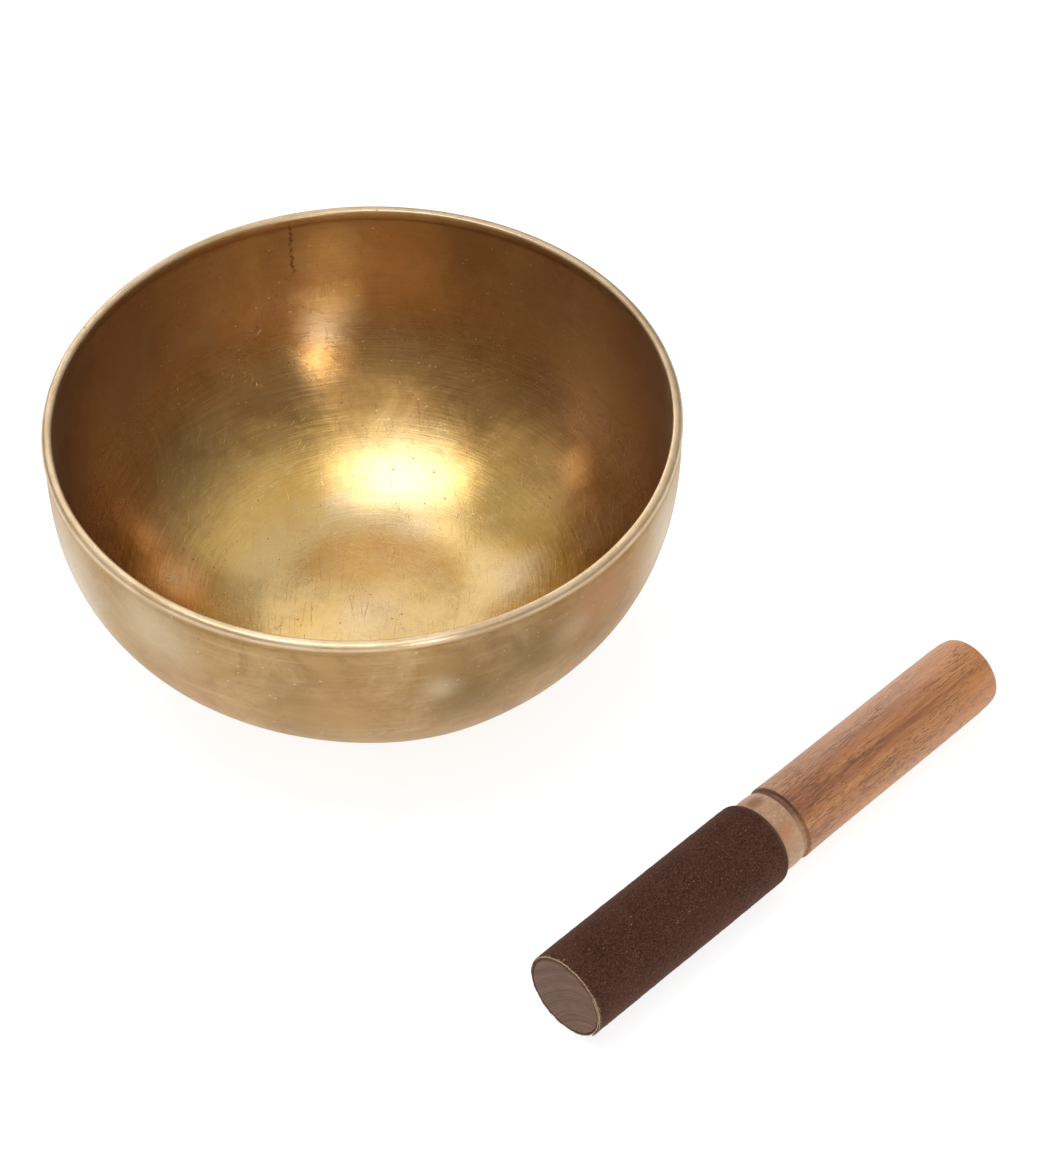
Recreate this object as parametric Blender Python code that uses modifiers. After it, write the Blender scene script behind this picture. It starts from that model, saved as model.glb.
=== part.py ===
"""Hand-beaten bronze singing bowl with its wooden striker.

The bowl stands on its flattened base, centred on the origin, and opens
upward along +Z.  The striker is a turned hardwood stick whose head is
wrapped in suede.  It lies on the same surface, in front and to the right of
the bowl, resting on the rear edge of its suede and on the tip of its grip.

Three real pieces: the bowl is beaten from one disc of bronze, the stick is
turned from one billet, and the suede is one strip glued round the head.
"""

import math

import bpy
from mathutils import Matrix, Vector

# ---------------------------------------------------------------- dimensions
# Bowl
RIM_RADIUS = 0.0976        # outside of the thickened lip
BOWL_HEIGHT = 0.0867
WALL_RADIUS = 0.0973       # outside of the wall just under the lip
BASE_RADIUS = 0.0320       # flat the bowl stands on
PROFILE_RISE = 2.75        # superellipse exponent up the wall
PROFILE_SPREAD = 1.517     # superellipse exponent across the base
WALL_THICKNESS = 0.0023
BASE_THICKNESS = 0.0027
LIP_THICKNESS = 0.0033     # radial width of the lip
LIP_HEIGHT = 0.0036        # how far down the bead of the lip reaches

# Striker, measured along its own axis from the face of the head
STICK_LENGTH = 0.1820
CORE_RADIUS = 0.0127       # wood under the suede
CORE_END = 0.0808          # where the core starts to narrow into the neck
SUEDE_START = 0.0002
SUEDE_STRAIGHT = 0.0809    # where the suede starts to turn in
SUEDE_END = 0.0832
SUEDE_RADIUS = 0.0141
SUEDE_THICKNESS = 0.0011
SUEDE_GAP = 0.0003         # glue line between suede and wood
NECK_RADIUS = 0.0114       # wood under the drawn-in end of the suede
BEAD_START = 0.0835
BEAD_CREST = 0.0872
BEAD_END = 0.0907
BEAD_FOOT_RADIUS = 0.0119
BEAD_RADIUS = 0.01245
BEAD_EDGE_RADIUS = 0.0122
GROOVE_RADIUS = 0.0115
GRIP_START = 0.0932
GRIP_RADIUS = 0.0126       # at the shoulder
GRIP_WAIST_RADIUS = 0.0124
GRIP_WAIST = 0.1080        # from here the grip runs almost straight
GRIP_END_RADIUS = 0.0123   # where the tip of the grip touches the table
GRIP_TOUCH = 0.1735

# Where the striker lies: centre of the head's face, and the way the grip points
HEAD_X = 0.05807
HEAD_Y = -0.17016
HEADING = math.radians(45.27)

BOWL_STEPS = 72
STICK_STEPS = 40


# ---------------------------------------------------------------- helpers
def clear_scene():
    for obj in list(bpy.data.objects):
        bpy.data.objects.remove(obj, do_unlink=True)


def make_material(name, colour, roughness, metallic):
    material = bpy.data.materials.new(name)
    material.use_nodes = True
    shader = material.node_tree.nodes["Principled BSDF"]
    shader.inputs["Base Color"].default_value = (*colour, 1.0)
    shader.inputs["Roughness"].default_value = roughness
    shader.inputs["Metallic"].default_value = metallic
    material.diffuse_color = (*colour, 1.0)
    return material


def turned(name, profile, steps, material, collection, closed=False):
    """A solid turned about the object's Z axis from (radius, height) points.

    The points run up the inside and down the outside, so its faces look out.
    """
    mesh = bpy.data.meshes.new(name)
    edges = [(i, i + 1) for i in range(len(profile) - 1)]
    if closed:
        edges.append((len(profile) - 1, 0))
    mesh.from_pydata([(r, 0.0, z) for r, z in profile], edges, [])
    mesh.materials.append(material)
    obj = bpy.data.objects.new(name, mesh)
    collection.objects.link(obj)
    screw = obj.modifiers.new("turn", "SCREW")
    screw.axis = "Z"
    screw.angle = 2.0 * math.pi
    screw.screw_offset = 0.0
    screw.steps = steps
    screw.render_steps = steps
    screw.use_merge_vertices = True
    screw.merge_threshold = 0.00001
    screw.use_smooth_shade = True
    return obj


# ---------------------------------------------------------------- the bowl
def wall_point(t):
    """Outside of the wall at t, from 0 at the edge of the base to 1 at the rim."""
    a = t * math.pi / 2.0
    z = BOWL_HEIGHT * (1.0 - math.cos(a) ** (2.0 / PROFILE_RISE))
    r = BASE_RADIUS + (WALL_RADIUS - BASE_RADIUS) * math.sin(a) ** (2.0 / PROFILE_SPREAD)
    return r, z


def wall_normal(t):
    """Outward normal of the wall in the (radius, height) plane."""
    e = 1e-4
    r0, z0 = wall_point(max(t - e, 0.0))
    r1, z1 = wall_point(min(t + e, 1.0))
    dr, dz = r1 - r0, z1 - z0
    length = math.hypot(dr, dz)
    return dz / length, -dr / length


def wall_t_at(height):
    """The t at which the outside of the wall reaches a height."""
    a = math.acos((1.0 - height / BOWL_HEIGHT) ** (PROFILE_RISE / 2.0))
    return a / (math.pi / 2.0)


def inner_point(t):
    """Inside of the wall: the outside moved in by the thickness, which grows towards the base."""
    r, z = wall_point(t)
    nr, nz = wall_normal(t)
    thick = BASE_THICKNESS + (WALL_THICKNESS - BASE_THICKNESS) * t
    return r - nr * thick, z - nz * thick


def bowl_profile():
    lip_base = BOWL_HEIGHT - LIP_HEIGHT
    t_lip = wall_t_at(lip_base)
    points = [(0.0, BASE_THICKNESS)]
    # up the inside, from the flat to just under the lip
    inside = [inner_point(t_lip * (0.10 + 0.90 * i / 13.0)) for i in range(14)]
    points += [p for p in inside if p[1] >= BASE_THICKNESS * 0.999]
    # over the lip
    inner_lip = RIM_RADIUS - LIP_THICKNESS
    points += [
        (inner_lip, BOWL_HEIGHT - 0.0010),
        (inner_lip + 0.0002, BOWL_HEIGHT - 0.0003),
        (inner_lip + 0.0008, BOWL_HEIGHT),
        (RIM_RADIUS - 0.0012, BOWL_HEIGHT - 0.0001),
        (RIM_RADIUS - 0.0004, BOWL_HEIGHT - 0.0006),
        (RIM_RADIUS, BOWL_HEIGHT - 0.0016),
        (RIM_RADIUS - 0.0001, BOWL_HEIGHT - 0.0028),
    ]
    # down the outside to the base
    points += [wall_point(t_lip * (1.0 - i / 15.0)) for i in range(16)]
    points.append((0.0, 0.0))
    return points


# ---------------------------------------------------------------- the striker
def stick_profile():
    """Radius and distance from the head's face, listed from the head to the tip of the grip."""
    chamfer = 0.0004
    points = [
        (0.0, 0.0),
        (CORE_RADIUS - chamfer, 0.0),
        (CORE_RADIUS, chamfer),
        (CORE_RADIUS, CORE_END),
        (NECK_RADIUS, SUEDE_END - 0.0003),
        (NECK_RADIUS, BEAD_START - 0.0001),
    ]
    # the bead: it swells from its foot to a crest, then falls to a crisp edge
    for i in range(4):
        f = i / 4.0
        swell = math.sin(f * math.pi / 2.0)
        points.append((BEAD_FOOT_RADIUS + (BEAD_RADIUS - BEAD_FOOT_RADIUS) * swell,
                       BEAD_START + (BEAD_CREST - BEAD_START) * f))
    for i in range(4):
        f = i / 3.0
        points.append((BEAD_RADIUS + (BEAD_EDGE_RADIUS - BEAD_RADIUS) * f * f,
                       BEAD_CREST + (BEAD_END - BEAD_CREST) * f))
    # the groove, and the shoulder of the grip behind it
    points += [
        (GROOVE_RADIUS, BEAD_END + 0.0004),
        (GROOVE_RADIUS, GRIP_START - 0.0003),
        (GRIP_RADIUS - 0.0003, GRIP_START),
        (GRIP_RADIUS, GRIP_START + 0.0004),
    ]
    # the grip narrows a little behind its shoulder, then runs almost straight to its rounded tip
    points += [
        ((GRIP_RADIUS + GRIP_WAIST_RADIUS) / 2.0, (GRIP_START + GRIP_WAIST) / 2.0),
        (GRIP_WAIST_RADIUS, GRIP_WAIST),
        (GRIP_WAIST_RADIUS, (GRIP_WAIST + GRIP_TOUCH) / 2.0),
        (GRIP_END_RADIUS, GRIP_TOUCH),
    ]
    points += [
        (GRIP_END_RADIUS - 0.0002, STICK_LENGTH - 0.0035),
        (GRIP_END_RADIUS - 0.0006, STICK_LENGTH - 0.0012),
        (GRIP_END_RADIUS - 0.0015, STICK_LENGTH - 0.0002),
        (GRIP_END_RADIUS - 0.0030, STICK_LENGTH),
        (0.0, STICK_LENGTH),
    ]
    return points


def suede_profile():
    """A sleeve, drawn in at its rear edge where it is glued down into the neck."""
    inside = CORE_RADIUS + SUEDE_GAP
    inner_tip = NECK_RADIUS + SUEDE_GAP
    return [
        (inside, SUEDE_START),
        (inside, CORE_END + 0.0002),
        (inner_tip, SUEDE_END - 0.0002),
        (inner_tip + 0.0002, SUEDE_END),
        (inner_tip + 0.8 * SUEDE_THICKNESS, SUEDE_END - 0.0001),
        (SUEDE_RADIUS - 0.0008, SUEDE_END - 0.0007),
        (SUEDE_RADIUS - 0.0002, SUEDE_STRAIGHT + 0.0009),
        (SUEDE_RADIUS, SUEDE_STRAIGHT),
        (SUEDE_RADIUS, SUEDE_START + 0.0005),
        (SUEDE_RADIUS - 0.0002, SUEDE_START),
    ]


def striker_matrix():
    """Puts the stick's own +Z along the table, resting on suede and grip tip."""
    rest_suede = SUEDE_STRAIGHT
    slope = math.atan((SUEDE_RADIUS - GRIP_END_RADIUS) / (GRIP_TOUCH - rest_suede))
    height = SUEDE_RADIUS * math.cos(slope) + rest_suede * math.sin(slope)
    along = Vector((
        math.cos(HEADING) * math.cos(slope),
        math.sin(HEADING) * math.cos(slope),
        -math.sin(slope),
    ))
    side = Vector((0.0, 0.0, 1.0)).cross(along).normalized()
    up = along.cross(side).normalized()
    # a corner of each turned polygon points straight down
    turn = Matrix((-up, side, along)).transposed().to_4x4()
    if turn.to_3x3().determinant() < 0:
        turn = Matrix((-up, -side, along)).transposed().to_4x4()
    return Matrix.Translation((HEAD_X, HEAD_Y, height)) @ turn


# ---------------------------------------------------------------- build
def main():
    clear_scene()
    collection = bpy.data.collections.new("singing_bowl")
    bpy.context.scene.collection.children.link(collection)

    bronze = make_material("bronze", (0.60, 0.40, 0.17), 0.38, 1.0)
    hardwood = make_material("hardwood", (0.42, 0.20, 0.09), 0.55, 0.0)
    suede = make_material("suede", (0.060, 0.022, 0.014), 0.95, 0.0)

    turned("bowl", bowl_profile(), BOWL_STEPS, bronze, collection)

    rest = bpy.data.objects.new("striker_lift", None)
    collection.objects.link(rest)
    rest.matrix_world = striker_matrix()
    stick = turned("striker_stick", [(r, z) for r, z in reversed(stick_profile())],
                   STICK_STEPS, hardwood, collection)
    wrap = turned("suede_wrap", suede_profile(), STICK_STEPS, suede, collection, closed=True)
    for obj in (stick, wrap):
        obj.parent = rest


main()
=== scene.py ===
"""Looks for the singing bowl and its striker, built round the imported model."""
import math

import bpy
import numpy as np
from mathutils import Matrix, Quaternion, Vector


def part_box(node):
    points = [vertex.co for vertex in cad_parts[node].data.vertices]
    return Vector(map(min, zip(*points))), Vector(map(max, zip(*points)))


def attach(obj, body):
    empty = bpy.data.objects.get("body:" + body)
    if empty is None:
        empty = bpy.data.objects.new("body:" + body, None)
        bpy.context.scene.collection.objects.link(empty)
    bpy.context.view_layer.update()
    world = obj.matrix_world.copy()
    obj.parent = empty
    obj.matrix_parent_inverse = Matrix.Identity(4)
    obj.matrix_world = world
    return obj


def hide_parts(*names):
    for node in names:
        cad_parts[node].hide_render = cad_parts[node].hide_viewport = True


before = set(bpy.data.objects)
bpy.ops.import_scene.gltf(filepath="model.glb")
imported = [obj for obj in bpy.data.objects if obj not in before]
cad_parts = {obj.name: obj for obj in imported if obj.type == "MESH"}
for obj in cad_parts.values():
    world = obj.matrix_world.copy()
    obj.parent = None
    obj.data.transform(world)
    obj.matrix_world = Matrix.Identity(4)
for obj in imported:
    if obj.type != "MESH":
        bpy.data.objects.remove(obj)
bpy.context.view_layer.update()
bowl_lo, bowl_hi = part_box("bowl")
wrap_lo, wrap_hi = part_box("suede_wrap")

MM = 0.001
SCENE = bpy.context.scene

# ---------------------------------------------------------------- dimensions, in millimetres
RIM_R = bowl_hi.x * 1000.0        # outside of the lip
BOWL_H = bowl_hi.z * 1000.0
WALL_R = 97.3
BASE_R = 32.0
RISE, SPREAD = 2.75, 1.517
WALL_T, BASE_T = 2.3, 2.7

STICK_L = 182.0
CORE_R = 12.7
CORE_END = 80.8
SUEDE_START, SUEDE_STRAIGHT, SUEDE_END = 0.2, 80.9, 83.2
SUEDE_R, SUEDE_GAP = 14.1, 0.3
NECK_R = 11.4
BEAD_START, BEAD_CREST, BEAD_END = 83.5, 87.2, 90.7
BEAD_FOOT_R, BEAD_R, BEAD_EDGE_R = 11.9, 12.45, 12.2
GROOVE_R = 11.5
GRIP_START, GRIP_R, GRIP_WAIST_R, GRIP_WAIST = 93.2, 12.6, 12.4, 108.0
GRIP_END_R, GRIP_TOUCH = 12.3, 173.5
HEAD_X, HEAD_Y, HEADING = 58.07, -170.16, math.radians(45.27)


# ---------------------------------------------------------------- smooth seeded noise
class Noise:
    """Value noise on a lattice, smooth and the same each run."""

    def __init__(self, seed):
        self.table = np.random.default_rng(seed).random(4096) * 2.0 - 1.0

    def _at(self, i, j, k):
        h = (i * 73856093) ^ (j * 19349663) ^ (k * 83492791)
        return self.table[np.bitwise_and(h, 4095)]

    def __call__(self, x, y, z):
        i, j, k = (np.floor(c).astype(np.int64) for c in (x, y, z))
        u, v, w = x - i, y - j, z - k
        u, v, w = (t * t * t * (t * (t * 6 - 15) + 10) for t in (u, v, w))
        out = 0.0
        for di in (0, 1):
            for dj in (0, 1):
                for dk in (0, 1):
                    weight = (u if di else 1 - u) * (v if dj else 1 - v) * (w if dk else 1 - w)
                    out = out + weight * self._at(i + di, j + dj, k + dk)
        return out


# ---------------------------------------------------------------- mesh helpers
def smooth(x):
    x = np.clip(x, 0.0, 1.0)
    return x * x * (3.0 - 2.0 * x)


def mesh_object(name, verts, faces, shaded_smooth=True):
    mesh = bpy.data.meshes.new(name)
    mesh.from_pydata([tuple(v) for v in verts], [], faces)
    mesh.validate(verbose=False)
    if shaded_smooth:
        mesh.shade_smooth()
    obj = bpy.data.objects.new(name, mesh)
    SCENE.collection.objects.link(obj)
    return obj


def grid_faces(rows, cols, closed_cols=True, flip=False):
    """Quads between rows of points; the columns run round the piece."""
    faces = []
    last = cols if closed_cols else cols - 1
    for r in range(rows - 1):
        a, b = r * cols, (r + 1) * cols
        for c in range(last):
            d = (c + 1) % cols
            q = (a + c, a + d, b + d, b + c)
            faces.append(q[::-1] if flip else q)
    return faces


def set_attribute(obj, name, values):
    attribute = obj.data.attributes.new(name, "FLOAT", "POINT")
    attribute.data.foreach_set("value", np.asarray(values, np.float32))


def settle(obj, place):
    """Moves the mesh to its place and keeps the piece's own coordinates, in millimetres, for its material."""
    count = len(obj.data.vertices)
    own = np.empty(count * 3, np.float32)
    obj.data.vertices.foreach_get("co", own)
    attribute = obj.data.attributes.new("own", "FLOAT_VECTOR", "POINT")
    attribute.data.foreach_set("vector", own * 1000.0)
    obj.data.transform(place)
    obj.data.update()


def resample(points, count):
    """Points spaced evenly along a polyline of (r, z)."""
    p = np.array(points, float)
    along = np.concatenate([[0.0], np.cumsum(np.linalg.norm(np.diff(p, axis=0), axis=1))])
    at = np.linspace(0.0, along[-1], count)
    return np.stack([np.interp(at, along, p[:, k]) for k in (0, 1)], axis=1)


# ---------------------------------------------------------------- bowl
def wall_point(t):
    a = t * math.pi / 2.0
    z = BOWL_H * (1.0 - np.cos(a) ** (2.0 / RISE))
    r = BASE_R + (WALL_R - BASE_R) * np.sin(a) ** (2.0 / SPREAD)
    return r, z


def wall_normal(t):
    e = 1e-4
    r0, z0 = wall_point(np.maximum(t - e, 0.0))
    r1, z1 = wall_point(np.minimum(t + e, 1.0))
    length = np.hypot(r1 - r0, z1 - z0)
    return (z1 - z0) / length, -(r1 - r0) / length


def bowl_sections():
    """Fine (r, z) sections: inside, lip, outside; each as an array from the inner centre outwards."""
    lip_base = BOWL_H - 4.6
    t_lip = float(np.arccos((1.0 - lip_base / BOWL_H) ** (RISE / 2.0)) / (math.pi / 2.0))
    t = np.linspace(0.0, t_lip, 700) ** 1.0
    r, z = wall_point(t)
    nr, nz = wall_normal(t)
    thick = BASE_T + (WALL_T - BASE_T) * t
    ri, zi = r - nr * thick, z - nz * thick
    keep = (zi > BASE_T) & (ri > BASE_R - 1.0)
    inner_wall = np.stack([ri[keep], zi[keep]], 1)
    # soften the turn from the flat to the wall
    first = inner_wall[0]
    flat = np.stack([np.linspace(0.6, first[0] - 0.4, 200), np.full(200, BASE_T)], 1)
    inside = np.concatenate([flat, inner_wall])
    inside = resample(inside, 118)
    low = smooth((16.0 - inside[:, 1:]) / 9.0)
    for _ in range(16):
        eased = inside.copy()
        eased[1:-1] = 0.25 * inside[:-2] + 0.5 * inside[1:-1] + 0.25 * inside[2:]
        inside = inside + (eased - inside) * np.maximum(low, 0.12)
    outside = np.stack([r[::-1], z[::-1]], 1)
    base = np.stack([np.linspace(BASE_R, 0.6, 120), np.zeros(120)], 1)
    outside = resample(np.concatenate([outside, base]), 100)
    for _ in range(2):
        outside[1:-1] = 0.25 * outside[:-2] + 0.5 * outside[1:-1] + 0.25 * outside[2:]
    outside[:, 1] = np.maximum(outside[:, 1], 0.0)
    # the lip: a thickened, slightly flattened bead with a crease under its outer edge
    inner_top = inside[-1]
    control = [
        (inner_top[0], inner_top[1]),
        (RIM_R - 3.15, BOWL_H - 1.9),
        (RIM_R - 3.25, BOWL_H - 0.9),
        (RIM_R - 3.05, BOWL_H - 0.35),
        (RIM_R - 2.5, BOWL_H - 0.05),
        (RIM_R - 1.5, BOWL_H - 0.0),
        (RIM_R - 0.75, BOWL_H - 0.25),
        (RIM_R - 0.2, BOWL_H - 0.85),
        (RIM_R - 0.0, BOWL_H - 1.6),
        (RIM_R - 0.08, BOWL_H - 2.4),
        (RIM_R - 0.28, BOWL_H - 3.1),
        (RIM_R - 0.36, BOWL_H - 3.5),
        (WALL_R - 0.12, BOWL_H - 4.1),
        (outside[0][0], outside[0][1]),
    ]
    p = np.array(control)
    along = np.concatenate([[0.0], np.cumsum(np.linalg.norm(np.diff(p, axis=0), axis=1))])
    # Catmull-Rom through the control points
    lip = []
    for i in range(len(p) - 1):
        p0, p1, p2, p3 = p[max(i - 1, 0)], p[i], p[i + 1], p[min(i + 2, len(p) - 1)]
        for u in np.linspace(0, 1, 12, endpoint=False):
            lip.append(0.5 * ((2 * p1) + (p2 - p0) * u + (2 * p0 - 5 * p1 + 4 * p2 - p3) * u * u
                              + (3 * p1 - p0 - 3 * p2 + p3) * u ** 3))
    lip.append(p[-1])
    lip = resample(lip, 40)
    return inside, lip[1:-1], outside


def make_bowl():
    inside, lip, outside = bowl_sections()
    profile = np.concatenate([inside, lip, outside])
    n_in, n_lip, n_out = len(inside), len(lip), len(outside)
    rows, cols = len(profile), 360
    theta = np.linspace(0.0, 2.0 * math.pi, cols, endpoint=False)
    ct, st = np.cos(theta), np.sin(theta)
    r = np.repeat(profile[:, :1], cols, 1)
    z = np.repeat(profile[:, 1:], cols, 1)
    # the beaten shell is a little out of round, and dented softly all over
    tangent = np.gradient(profile, axis=0)
    tangent /= np.linalg.norm(tangent, axis=1)[:, None]
    # profile runs inside-out, so its left side is the metal's outer face
    normal = np.stack([-tangent[:, 1], tangent[:, 0]], 1)
    x, y = r * ct, r * st
    big, mid = Noise(11), Noise(12)
    weight = np.clip((profile[:, 0] / 40.0), 0.0, 1.0)[:, None]
    outer = np.zeros((rows, 1)); outer[n_in + n_lip // 2:] = 1.0
    shell = 0.22 * big(x / 34.0 + 7.3, y / 34.0 + 1.7, z / 34.0 + 4.1)
    dents_in = 0.050 * mid(x / 17.0 + 3.1, y / 17.0 + 9.2, z / 17.0) + 0.018 * mid(x / 8.0, y / 8.0 + 5.0, z / 8.0 + 2.0)
    dents_out = 0.070 * mid(x / 15.0 + 13.1, y / 15.0 + 2.2, z / 15.0 + 6.0) + 0.030 * mid(x / 7.0 + 4.4, y / 7.0, z / 7.0 + 8.0)
    lipness = np.exp(-((np.arange(rows) - (n_in + n_lip / 2.0)) / (n_lip * 0.45)) ** 2)[:, None]
    # both faces of the sheet move together with the large shape, and apart with the small dents
    push = shell * weight * (1.0 - 0.6 * lipness)
    sheet_r = np.where(outer > 0, normal[:, :1], -normal[:, :1])
    sheet_z = np.where(outer > 0, normal[:, 1:], -normal[:, 1:])
    dr = push * sheet_r + (dents_out * outer + dents_in * (1 - outer)) * weight * (1 - 0.8 * lipness) * sheet_r
    dz = push * sheet_z + (dents_out * outer + dents_in * (1 - outer)) * weight * (1 - 0.8 * lipness) * sheet_z
    r, z = r + dr, z + dz
    # the crease under the lip is sharp at the front and right, and a soft cove elsewhere
    az = np.arctan2(st, ct)[None, :] + 0 * r
    sharp = smooth((np.cos(az + math.radians(48.0)) + 0.25) / 0.6)
    depth = BOWL_H - profile[:, 1:]
    outer_lip = outer * np.exp(-((depth - 3.45) / 0.75) ** 2)
    r = r + outer_lip * (0.10 * (1.0 - sharp) - 0.30 * sharp)
    # the wall is fuller on the left, and its foot swells a little to the right of the front
    def towards(centre, spread):
        turn = (az - math.radians(centre) + math.pi) % (2.0 * math.pi) - math.pi
        return np.exp(-(turn / math.radians(spread)) ** 2)

    rise = profile[:, 1:]
    belly = smooth(rise / 18.0) * smooth((BOWL_H - 6.0 - rise) / 26.0)
    foot = smooth(rise / 6.0) * smooth((40.0 - rise) / 26.0)
    r = r + belly * (1.05 * towards(196.0, 32.0) + 0.10 * towards(-22.0, 30.0)) * weight
    r = r + foot * (1.25 * towards(-72.0, 17.0) - 1.25 * towards(-116.0, 22.0)) * weight
    # keep to the ground and inside the box
    r = np.minimum(r, RIM_R)
    base = outer * (profile[:, :1] < BASE_R + 1.0)
    z = np.where(base > 0, np.maximum(z, 0.0) * 0.2, np.maximum(z, 0.0))
    z = np.minimum(z, BOWL_H)
    verts = np.stack([r * ct, r * st, z], 2).reshape(-1, 3)
    faces = grid_faces(rows, cols, flip=False)
    inner_pole, outer_pole = len(verts), len(verts) + 1
    verts = np.concatenate([verts, [[0, 0, z[0].mean()]], [[0, 0, 0]]])
    end = (rows - 1) * cols
    faces += [(inner_pole, (c + 1) % cols, c) for c in range(cols)]
    faces += [(outer_pole, end + c, end + (c + 1) % cols) for c in range(cols)]
    faces = [f[::-1] for f in faces]
    obj = mesh_object("bowl_shell", verts * MM, faces)
    along = np.concatenate([[0.0], np.cumsum(np.linalg.norm(np.diff(profile, axis=0), axis=1))]) + 0.6
    s = np.concatenate([np.repeat(along, cols), [0.0, along[-1]]])
    side = np.zeros(rows); side[n_in + int(n_lip * 0.72):] = 1.0
    lip_mask = np.zeros(rows); lip_mask[n_in + 4:n_in + int(n_lip * 0.80)] = 1.0
    lip_mask = np.convolve(np.pad(lip_mask, 2, mode="edge"), np.ones(5) / 5.0, mode="valid")
    set_attribute(obj, "along", s)
    set_attribute(obj, "outside", np.concatenate([np.repeat(side, cols), [0.0, 1.0]]))
    set_attribute(obj, "lip", np.concatenate([np.repeat(lip_mask, cols), [0.0, 0.0]]))
    return obj


# ---------------------------------------------------------------- striker
def striker_matrix():
    """The stick's own +Z runs from the head to the grip, its own +X points up."""
    slope = math.atan((SUEDE_R - GRIP_END_R) / (GRIP_TOUCH - SUEDE_STRAIGHT))
    height = SUEDE_R * math.cos(slope) + SUEDE_STRAIGHT * math.sin(slope)
    along = Vector((math.cos(HEADING) * math.cos(slope), math.sin(HEADING) * math.cos(slope), -math.sin(slope)))
    side = Vector((0.0, 0.0, 1.0)).cross(along).normalized()
    up = along.cross(side).normalized()
    turn = Matrix((up, -side, along)).transposed()
    return Matrix.Translation(Vector((HEAD_X, HEAD_Y, height)) * MM) @ turn.to_4x4()


def make_stick():
    neck = [
        (0.3, 0.0), (CORE_R - 1.6, 0.0), (CORE_R - 0.6, 0.02), (CORE_R - 0.18, 0.12), (CORE_R, 0.45),
        (CORE_R, CORE_END), (NECK_R, SUEDE_END - 0.3), (NECK_R, BEAD_START - 0.12), (NECK_R + 0.15, BEAD_START - 0.02),
    ]
    # the bead has a thin foot ring, then swells to its crest and falls to a crisp edge
    bead = [(BEAD_FOOT_R - 0.12, BEAD_START), (BEAD_FOOT_R, BEAD_START + 0.10), (BEAD_FOOT_R + 0.03, BEAD_START + 0.55),
            (BEAD_FOOT_R - 0.02, BEAD_START + 0.68), (BEAD_FOOT_R + 0.10, BEAD_START + 0.80)]
    start = BEAD_START + 0.8
    for i in range(1, 17):
        f = i / 16.0
        bead.append((BEAD_FOOT_R + 0.10 + (BEAD_R - BEAD_FOOT_R - 0.10) * math.sin(f * math.pi / 2.0),
                     start + (BEAD_CREST - start) * f))
    for i in range(1, 15):
        f = i / 14.0
        bead.append((BEAD_R + (BEAD_EDGE_R - BEAD_R) * f * f, BEAD_CREST + (BEAD_END - BEAD_CREST) * f))
    groove = [
        (BEAD_EDGE_R - 0.10, BEAD_END + 0.06), (GROOVE_R + 0.15, BEAD_END + 0.30), (GROOVE_R, BEAD_END + 0.55),
        (GROOVE_R, GRIP_START - 0.55), (GROOVE_R + 0.10, GRIP_START - 0.32), (GRIP_R - 0.42, GRIP_START - 0.08),
        (GRIP_R - 0.16, GRIP_START + 0.04), (GRIP_R - 0.03, GRIP_START + 0.22), (GRIP_R, GRIP_START + 0.5),
    ]
    grip = []
    for i in range(1, 40):
        z = GRIP_START + 0.5 + (GRIP_TOUCH - GRIP_START - 0.5) * i / 39.0
        f = min(1.0, (z - GRIP_START) / (GRIP_WAIST - GRIP_START))
        r = GRIP_R + (GRIP_WAIST_R - GRIP_R) * f * (2 - f)
        g = max(0.0, (z - 140.0) / (GRIP_TOUCH - 140.0))
        grip.append((r + (GRIP_END_R - GRIP_WAIST_R) * g * g, z))
    tip = [(12.24, 175.4), (12.17, 177.0), (12.08, 178.5), (11.95, 179.4), (11.78, 180.3), (11.60, 180.8), (11.25, 181.3),
           (10.80, 181.68), (10.1, 181.9), (9.3, STICK_L), (0.3, STICK_L)]
    sharp = neck + bead + groove + grip + tip
    fine = []
    for (r0, z0), (r1, z1) in zip(sharp, sharp[1:]):
        steps = max(1, int(math.hypot(r1 - r0, z1 - z0) / 0.9))
        for k in range(steps):
            fine.append((r0 + (r1 - r0) * k / steps, z0 + (z1 - z0) * k / steps))
    fine.append(sharp[-1])
    profile = np.array(fine)
    rows, cols = len(profile), 160
    theta = np.linspace(0.0, 2.0 * math.pi, cols, endpoint=False)
    ct, st = np.cos(theta), np.sin(theta)
    r = np.repeat(profile[:, :1], cols, 1)
    z = np.repeat(profile[:, 1:], cols, 1)
    wobble = Noise(31)
    loose = np.clip((z - BEAD_START) / 2.0, 0, 1)
    r = r + 0.05 * (wobble(r * ct / 9.0, r * st / 9.0, z / 22.0) - 0.6) * np.clip(r / 8.0, 0, 1) * loose
    # the sawn end under the suede is not quite flat
    z = np.where(profile[:, 1:] < 0.05, np.maximum(0.0, 0.05 + 0.05 * wobble(r * ct / 3.0, r * st / 3.0, 0 * z)), z)
    verts = np.stack([r * ct, r * st, z], 2).reshape(-1, 3)
    faces = grid_faces(rows, cols)
    a, b = len(verts), len(verts) + 1
    verts = np.concatenate([verts, [[0, 0, 0.05]], [[0, 0, STICK_L]]])
    end = (rows - 1) * cols
    faces += [(a, (c + 1) % cols, c) for c in range(cols)]
    faces += [(b, end + c, end + (c + 1) % cols) for c in range(cols)]
    return mesh_object("striker_wood", verts * MM, faces)


LAP_FROM = math.radians(38.0)     # where the strip's inner edge starts, round the stick
LAP_TO = math.radians(128.0)      # where its outer edge ends, out of sight underneath
SUEDE_T = 1.16                    # thickness away from the skived lap


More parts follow.
